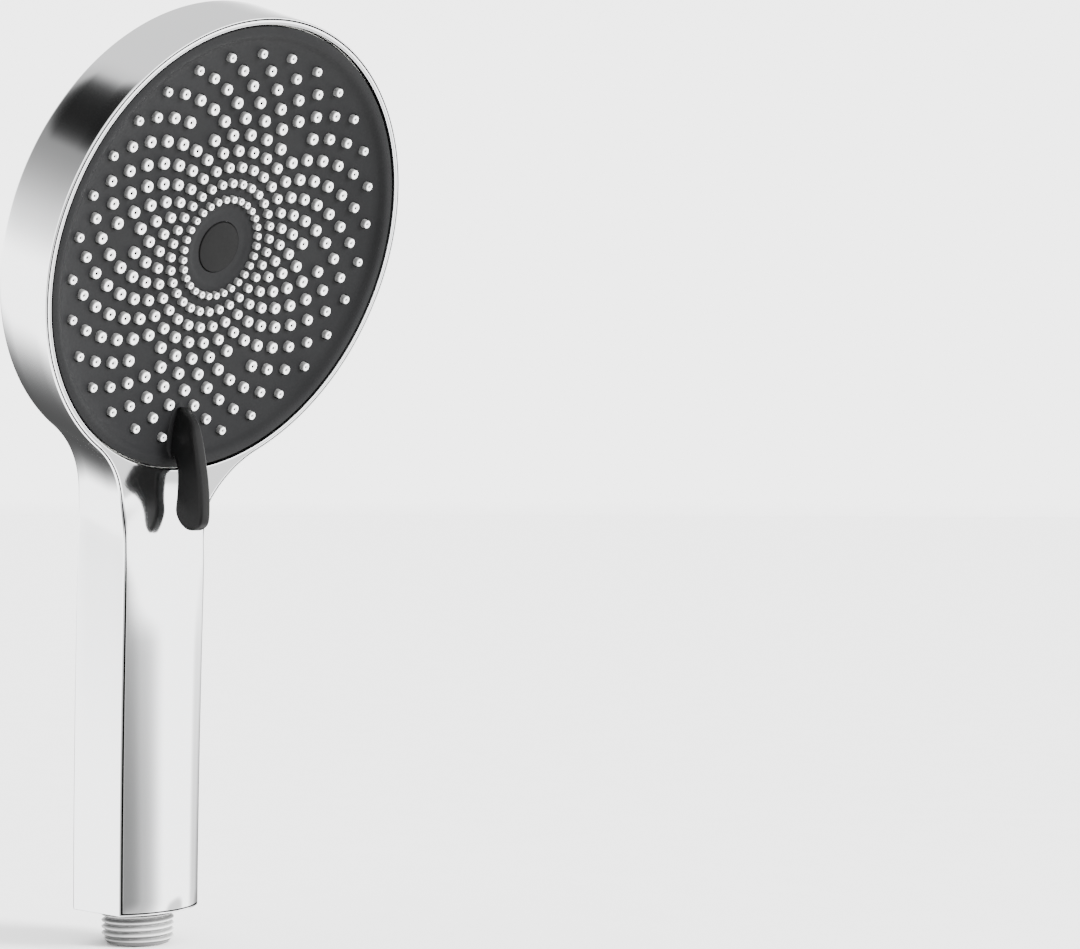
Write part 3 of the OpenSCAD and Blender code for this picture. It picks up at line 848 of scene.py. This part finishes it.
def build_waterway():
    """The water tube: a threaded spigot below the foot and a plain tube inside the handle."""
    skin = Skin()
    turns = full_turn(TUBE_SEGMENTS)
    rows = []
    for i in range(THREAD_ROWS + 1):
        z = FOOT_Z * i / THREAD_ROWS
        radii = [thread_radius(a, z) for a in turns]
        rows.append([Vector((r * math.cos(a), r * math.sin(a), z)) for r, a in zip(radii, turns)])
    for r, z in TUBE_OUTSIDE + TUBE_END + TUBE_BORE:
        rows.append([Vector((r * math.cos(a), r * math.sin(a), z)) for a in turns])
    indices = [skin.row(r) for r in rows]
    for a, b in zip(indices, indices[1:] + indices[:1]):
        skin.strip(a, b, closed=True)
    return skin.build("waterway_skin", sharp=45.0)


# ---------------------------------------------------------------- materials
def new_material(name):
    material = bpy.data.materials.new(name)
    material.use_nodes = True
    nodes = material.node_tree.nodes
    return material, nodes, material.node_tree.links, nodes["Principled BSDF"]


def range_node(nodes, links, source, start, end, low, high, kind):
    node = nodes.new("ShaderNodeMapRange")
    node.interpolation_type = kind
    node.inputs["From Min"].default_value = start
    node.inputs["From Max"].default_value = end
    node.inputs["To Min"].default_value = low
    node.inputs["To Max"].default_value = high
    links.new(source, node.inputs["Value"])
    return node.outputs["Result"]


def math_node(nodes, links, operation, a, b):
    node = nodes.new("ShaderNodeMath")
    node.operation = operation
    for socket, value in zip(node.inputs, (a, b)):
        if isinstance(value, float):
            socket.default_value = value
        else:
            links.new(value, socket)
    return node.outputs["Value"]


def noise(nodes, links, scale, detail=3.0, roughness=0.5):
    coords = nodes.new("ShaderNodeTexCoord")
    texture = nodes.new("ShaderNodeTexNoise")
    texture.inputs["Scale"].default_value = scale
    texture.inputs["Detail"].default_value = detail
    texture.inputs["Roughness"].default_value = roughness
    links.new(coords.outputs["Object"], texture.inputs["Vector"])
    return texture


def vary(nodes, links, source, low, high):
    """Maps a 0..1 value to the range low..high."""
    ramp = nodes.new("ShaderNodeMapRange")
    ramp.inputs["From Min"].default_value = 0.3
    ramp.inputs["From Max"].default_value = 0.7
    ramp.inputs["To Min"].default_value = low
    ramp.inputs["To Max"].default_value = high
    links.new(source, ramp.inputs["Value"])
    return ramp.outputs["Result"]


def tint(nodes, links, source, dark, light):
    ramp = nodes.new("ShaderNodeValToRGB")
    ramp.color_ramp.elements[0].position = 0.35
    ramp.color_ramp.elements[0].color = (*dark, 1.0)
    ramp.color_ramp.elements[1].position = 0.65
    ramp.color_ramp.elements[1].color = (*light, 1.0)
    links.new(source, ramp.inputs["Fac"])
    return ramp.outputs["Color"]


def bump(nodes, links, shader, source, strength, distance):
    node = nodes.new("ShaderNodeBump")
    node.inputs["Strength"].default_value = strength
    node.inputs["Distance"].default_value = distance
    links.new(source, node.inputs["Height"])
    links.new(node.outputs["Normal"], shader.inputs["Normal"])


def chrome_material():
    material, nodes, links, shader = new_material("polished_chrome")
    shader.inputs["Metallic"].default_value = 1.0
    wide = noise(nodes, links, 18.0, 2.0)
    fine = noise(nodes, links, 900.0, 2.0)
    colour = tint(nodes, links, wide.outputs["Fac"], (0.905, 0.915, 0.925), (0.935, 0.94, 0.945))
    links.new(colour, shader.inputs["Base Color"])
    links.new(vary(nodes, links, wide.outputs["Fac"], 0.07, 0.1), shader.inputs["Roughness"])
    bump(nodes, links, shader, fine.outputs["Fac"], 0.02, 0.00002)
    return material


def scaled(nodes, links, colour, level):
    node = nodes.new("ShaderNodeVectorMath")
    node.operation = "SCALE"
    links.new(colour, node.inputs[0])
    links.new(level, node.inputs["Scale"])
    return node.outputs["Vector"]


def paint_crevice_shade(nodes, links, colour, reach, amount):
    """Paints shade into a colour: darker where other surfaces crowd round, as in crevices."""
    occlusion = nodes.new("ShaderNodeAmbientOcclusion")
    occlusion.inputs["Distance"].default_value = reach
    level = range_node(nodes, links, occlusion.outputs["AO"], 0.35, 1.0, 1.0 - amount, 1.0, "LINEAR")
    return scaled(nodes, links, colour, level)


def paint_side_shade(nodes, links, colour, amount):
    """Paints shade into a colour: darker on the surfaces that don't look out of the spray face, such as a
    nozzle's sides.
    """
    geometry = nodes.new("ShaderNodeNewGeometry")
    dot = nodes.new("ShaderNodeVectorMath")
    dot.operation = "DOT_PRODUCT"
    dot.inputs[1].default_value = (0.0, -COS_T, -SIN_T)
    links.new(geometry.outputs["Normal"], dot.inputs[0])
    level = range_node(nodes, links, dot.outputs["Value"], 0.1, 0.97, 1.0 - amount, 1.0, "LINEAR")
    return scaled(nodes, links, colour, level)


def plastic_material(name, dark, light, rough, grain=1400.0, relief=0.12, metallic=0.0, gloss=0.5,
                     crevice_shade=None, side_shade=0.0):
    """Moulded plastic, rubber or metal with fine grain and slight mottling.

    The last two arguments give the reach and amount of the shade painted into crevices, and the amount of
    shade painted on a nozzle's sides.
    """
    material, nodes, links, shader = new_material(name)
    shader.inputs["Metallic"].default_value = metallic
    shader.inputs["Specular IOR Level"].default_value = gloss
    wide = noise(nodes, links, 45.0, 4.0)
    fine = noise(nodes, links, grain, 3.0, 0.6)
    colour = tint(nodes, links, wide.outputs["Fac"], dark, light)
    if crevice_shade:
        colour = paint_crevice_shade(nodes, links, colour, *crevice_shade)
    if side_shade:
        colour = paint_side_shade(nodes, links, colour, side_shade)
    links.new(colour, shader.inputs["Base Color"])
    links.new(vary(nodes, links, fine.outputs["Fac"], *rough), shader.inputs["Roughness"])
    bump(nodes, links, shader, fine.outputs["Fac"], relief, 0.00008)
    return material


def grey(level):
    return (level, level, level)


# Under this very bright studio the dark plastics need base colours well below their real ones
MATERIALS = {
    "chrome": chrome_material(),
    "plate": plastic_material(
        "plate_plastic", (0.0054, 0.0055, 0.0058), (0.0068, 0.0069, 0.0072), (0.5, 0.62), gloss=0.11),
    "lever": plastic_material(
        "lever_plastic", (0.0032, 0.0032, 0.0033), (0.004, 0.004, 0.0041), (0.34, 0.44), gloss=0.12),
    "cap": plastic_material("cap_plastic", grey(0.0042), grey(0.005), (0.52, 0.64), gloss=0.09),
    # The nozzles get painted shade: their sides come out darker than their tops.
    "nozzle": plastic_material(
        "nozzle_silicone", (0.62, 0.62, 0.617), (0.68, 0.68, 0.677), (0.42, 0.52),
        relief=0.06, gloss=0.2, side_shade=0.82),
    # The spigot's plastic gets painted shade in its thread grooves and where the foot overhangs it.
    "inlet": plastic_material(
        "inlet_plastic", (0.5, 0.5, 0.497), (0.56, 0.56, 0.557), (0.34, 0.44),
        gloss=0.2, crevice_shade=(0.005, 0.85)),
    "chamber": plastic_material("chamber_plastic", (0.6, 0.62, 0.64), (0.66, 0.68, 0.7), (0.38, 0.5)),
    "slip": plastic_material("slip_plastic", (0.78, 0.78, 0.74), (0.84, 0.84, 0.8), (0.3, 0.4)),
    "restrictor": plastic_material(
        "restrictor_plastic", (0.05, 0.16, 0.46), (0.06, 0.19, 0.52), (0.35, 0.45)),
    "rubber": plastic_material("seal_rubber", grey(0.012), grey(0.02), (0.55, 0.7), relief=0.2),
    # Near black: painted shadow in the shells' groove and inside the nozzles' bores.
    "gap": plastic_material("painted_gap_shadow", grey(0.002), grey(0.003), (0.6, 0.8), gloss=0.05),
    "steel": plastic_material(
        "stainless_steel", (0.56, 0.56, 0.57), (0.64, 0.64, 0.65), (0.2, 0.34), metallic=1.0),
}

NODE_MATERIALS = {
    "rear_shell": "chrome", "front_shell": "chrome", "bearing_ring": "slip", "waterway_tube": "inlet",
    "filter_washer": "rubber", "filter_screen": "steel", "flow_restrictor": "restrictor",
    "restrictor_o_ring": "rubber", "tube_o_ring": "rubber", "head_manifold": "chamber",
    "manifold_lid": "chamber", "manifold_screws": "steel", "valve_seal": "rubber", "valve_spring": "steel",
    "detent_spring": "steel", "pivot_screw": "steel", "pivot_washer": "steel", "detent_ball": "steel",
    "selector_disc": "slip", "chamber_cover": "chamber", "channel_plate": "chamber", "nozzle_mat": "nozzle",
    "face_plate": "plate", "mode_lever": "lever", "centre_cap": "cap",
}


def put_material(piece, name):
    """Gives a piece its material, and its gaps, if it has any marked, the near-black one that paints the
    shadow in them.
    """
    if piece.data.materials:
        piece.data.materials.clear()
    piece.data.materials.append(MATERIALS[name])
    if any(face.material_index for face in piece.data.polygons):
        piece.data.materials.append(MATERIALS["gap"])


# ---------------------------------------------------------------- studio
WORLD_LEVEL = 4.2
# Soft darker patches of the studio, placed and tuned, which the chrome picks up: a direction, the
# cosines of the angles at which the patch starts and is full, how dark it is, and whether it lies below the
# horizon only
PATCHES = [
    ((-0.66, 0.55, 0.50), 0.78, 1.00, 1.3, False),
    ((-0.51, 0.40, 0.76), 0.955, 0.995, 2.9, False),
    ((0.0, 0.0, 1.0), 0.15, 0.60, 1.2, False),
    ((0.50, 0.81, -0.30), 0.66, 1.05, 3.9, True),
    ((-0.50, -0.84, -0.20), 0.45, 0.95, 1.7, True),
    ((-0.50, -0.84, -0.20), 0.88, 1.00, 0.8, True),
    ((0.74, -0.52, -0.43), 0.965, 0.995, 1.0, True),
    ((0.98, 0.18, -0.12), 0.93, 1.00, 1.0, True),
]


def direction_node(nodes, links, coords, direction):
    node = nodes.new("ShaderNodeVectorMath")
    node.operation = "DOT_PRODUCT"
    node.inputs[1].default_value = Vector(direction).normalized()
    links.new(coords.outputs["Generated"], node.inputs[0])
    return node.outputs["Value"]


def add_world():
    """A white studio that falls off towards the patches."""
    world = bpy.data.worlds.new("studio")
    world.use_nodes = True
    nodes = world.node_tree.nodes
    links = world.node_tree.links
    coords = nodes.new("ShaderNodeTexCoord")
    height = direction_node(nodes, links, coords, (0.0, 0.0, 1.0))
    below = range_node(nodes, links, height, -0.15, -0.01, 1.0, 0.0, "LINEAR")
    density = 0.0
    for direction, edge, middle, amount, only_below in PATCHES:
        dot = direction_node(nodes, links, coords, direction)
        patch = range_node(nodes, links, dot, edge, middle, 0.0, amount, "SMOOTHSTEP")
        if only_below:
            patch = math_node(nodes, links, "MULTIPLY", patch, below)
        density = math_node(nodes, links, "ADD", patch, density)
    fade = math_node(nodes, links, "MULTIPLY", density, -1.0)
    level = math_node(nodes, links, "POWER", math.e, fade)
    background = nodes["Background"]
    links.new(level, background.inputs["Color"])
    background.inputs["Strength"].default_value = WORLD_LEVEL
    bpy.context.scene.world = world


def add_sun(name, towards, spread, strength):
    """A soft, distant light. It isn't mirrored in the chrome."""
    data = bpy.data.lights.new(name, "SUN")
    data.angle = math.radians(spread)
    data.energy = strength
    light = bpy.data.objects.new(name, data)
    light.rotation_euler = (-Vector(towards)).to_track_quat("-Z", "Y").to_euler()
    light.visible_glossy = False
    bpy.context.scene.collection.objects.link(light)


FLOOR_GAP = 0.4
FLOOR_RADII = (200.0, 2000.0, 8000.0)
FLOOR_SEGMENTS = 96


def add_floor():
    """A wide, pale, flat disc just below the object. It isn't mirrored in the chrome."""
    skin = Skin()
    profile = [(r, -FLOOR_GAP) for r in FLOOR_RADII]
    rings = lathe(skin, profile, FLOOR_SEGMENTS, flat_place, closed=False)
    skin.cap(rings[0])
    floor = skin.build("floor")
    material = plastic_material("floor_paint", grey(0.9), grey(0.915), (0.85, 0.95), grain=20.0, relief=0.0)
    floor.data.materials.append(material)
    floor.visible_glossy = False


# ---------------------------------------------------------------- assembly
add_camera()

PIECES = [
    # build, body, material, record slot, CAD nodes that it stands for
    (build_front_skin, "handset", "chrome", "chrome", ("front_shell",)),
    (build_rear_skin, "handset", "chrome", "chrome", ("rear_shell",)),
    (build_waterway, "handset", "inlet", "inlet_plastic", ("waterway_tube",)),
    (build_face_plate, "spray_face", "plate", "face_plastic", ("face_plate",)),
    (build_nozzles, "spray_face", "nozzle", "nozzle_silicone", ("nozzle_mat",)),
    (build_lever, "spray_face", "lever", "lever_plastic", ("mode_lever",)),
    (build_lever_base, "spray_face", "plate", "face_plastic", ()),
    (build_cap, "spray_face", "cap", "cap_plastic", ("centre_cap",)),
]

for build, body, material, slot, replaced in PIECES:
    piece = build()
    put_material(piece, material)
    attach(piece, body)
    if replaced:
        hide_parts(*replaced)

for name, material in NODE_MATERIALS.items():
    put_material(NODES[name], material)

add_world()
add_floor()
add_sun("key_light", (0.42, -0.84, 0.36), 24.0, 16.0)
add_sun("top_light", (-0.1, 0.1, 1.0), 60.0, 3.0)
